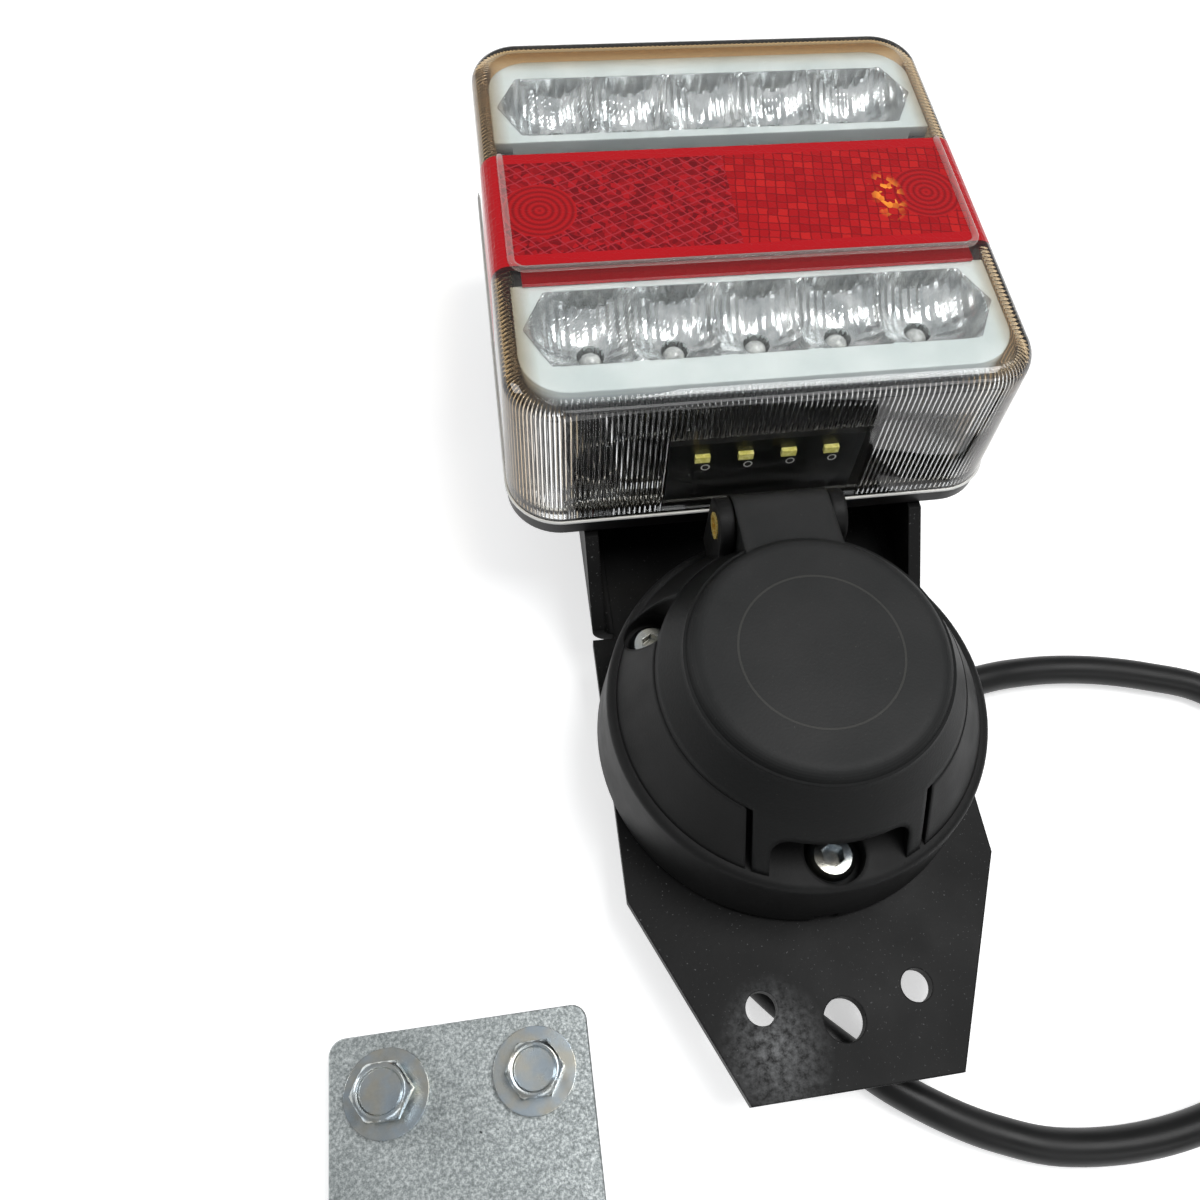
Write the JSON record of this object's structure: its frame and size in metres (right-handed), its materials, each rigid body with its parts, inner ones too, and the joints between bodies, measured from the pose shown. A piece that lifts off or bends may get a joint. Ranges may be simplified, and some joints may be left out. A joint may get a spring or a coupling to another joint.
{
  "type": "trailer light set",
  "caption": "Rear lamp with diode rows and a red reflector, and a trailer socket with a sprung hinged cap, on one black folded steel bracket, with its cable and a bolted fixing plate.",
  "frame": {"origin": "centre of the bracket's large fixing hole, on the sheet's front face", "axes": "+Z out of the lamp's face, +Y from the socket towards the lamp, +X to the right of the lamp's face; the set lies on its back"},
  "size_m": [0.2297, 0.267, 0.0767],
  "materials": {
    "black_steel": "satin powder coat",
    "black_plastic": "fine moulded texture",
    "clear_lens": "clear, fluted at the sides",
    "red_lens": "clear red with prisms on the back",
    "silver_reflector": "metallised plastic",
    "board": "black solder mask",
    "led": "clear diode lens",
    "yellow_led": "phosphor yellow",
    "zinc": "bright zinc",
    "rubber": "matte rubber",
    "foam": "closed-cell foam",
    "grey_plastic": "moulded",
    "brass": "turned brass",
    "spring_steel": "drawn wire",
    "cable_jacket": "smooth black sheath",
    "galvanised": "galvanised"
  },
  "bodies": {
    "root": {"bracket": "black_steel", "left_flange": "black_steel", "right_flange": "black_steel", "lamp_base": "black_plastic", "lens": "clear_lens", "red_reflector": "red_lens", "upper_reflector": "silver_reflector", "lower_reflector": "silver_reflector", "led_board": "board", "upper_leds": "led", "lower_leds": "led", "plate_light_board": "board", "plate_light_leds": "yellow_led", "lamp_studs": "zinc", "lamp_washers": "zinc", "lamp_nuts": "zinc", "lamp_boot": "rubber", "socket_base": "black_plastic", "socket_collar": "black_plastic", "socket_barrel": "black_plastic", "socket_gasket": "foam", "carrier_plate": "grey_plastic", "contact_carrier": "grey_plastic", "contacts": "brass", "socket_boot": "rubber", "socket_screws": "zinc", "socket_nuts": "zinc", "hinge_pin": "brass", "hinge_spring": "spring_steel", "cable": "cable_jacket", "fixing_plate": "galvanised", "plate_washers": "galvanised", "plate_bolts": "zinc", "plate_nuts": "zinc"},
    "cap": {"cap": "black_plastic", "cap_seal": "rubber"}
  },
  "joints": [
    {"name": "cap_hinge", "type": "hinge", "parent": "root", "child": "cap", "pos_m": [0, 0.094, 0.0338], "axis": [-1, 0, 0], "range_deg": [0, 90], "stiffness_Nm_per_rad": 0.05, "springref_deg": -28.65}
  ]
}
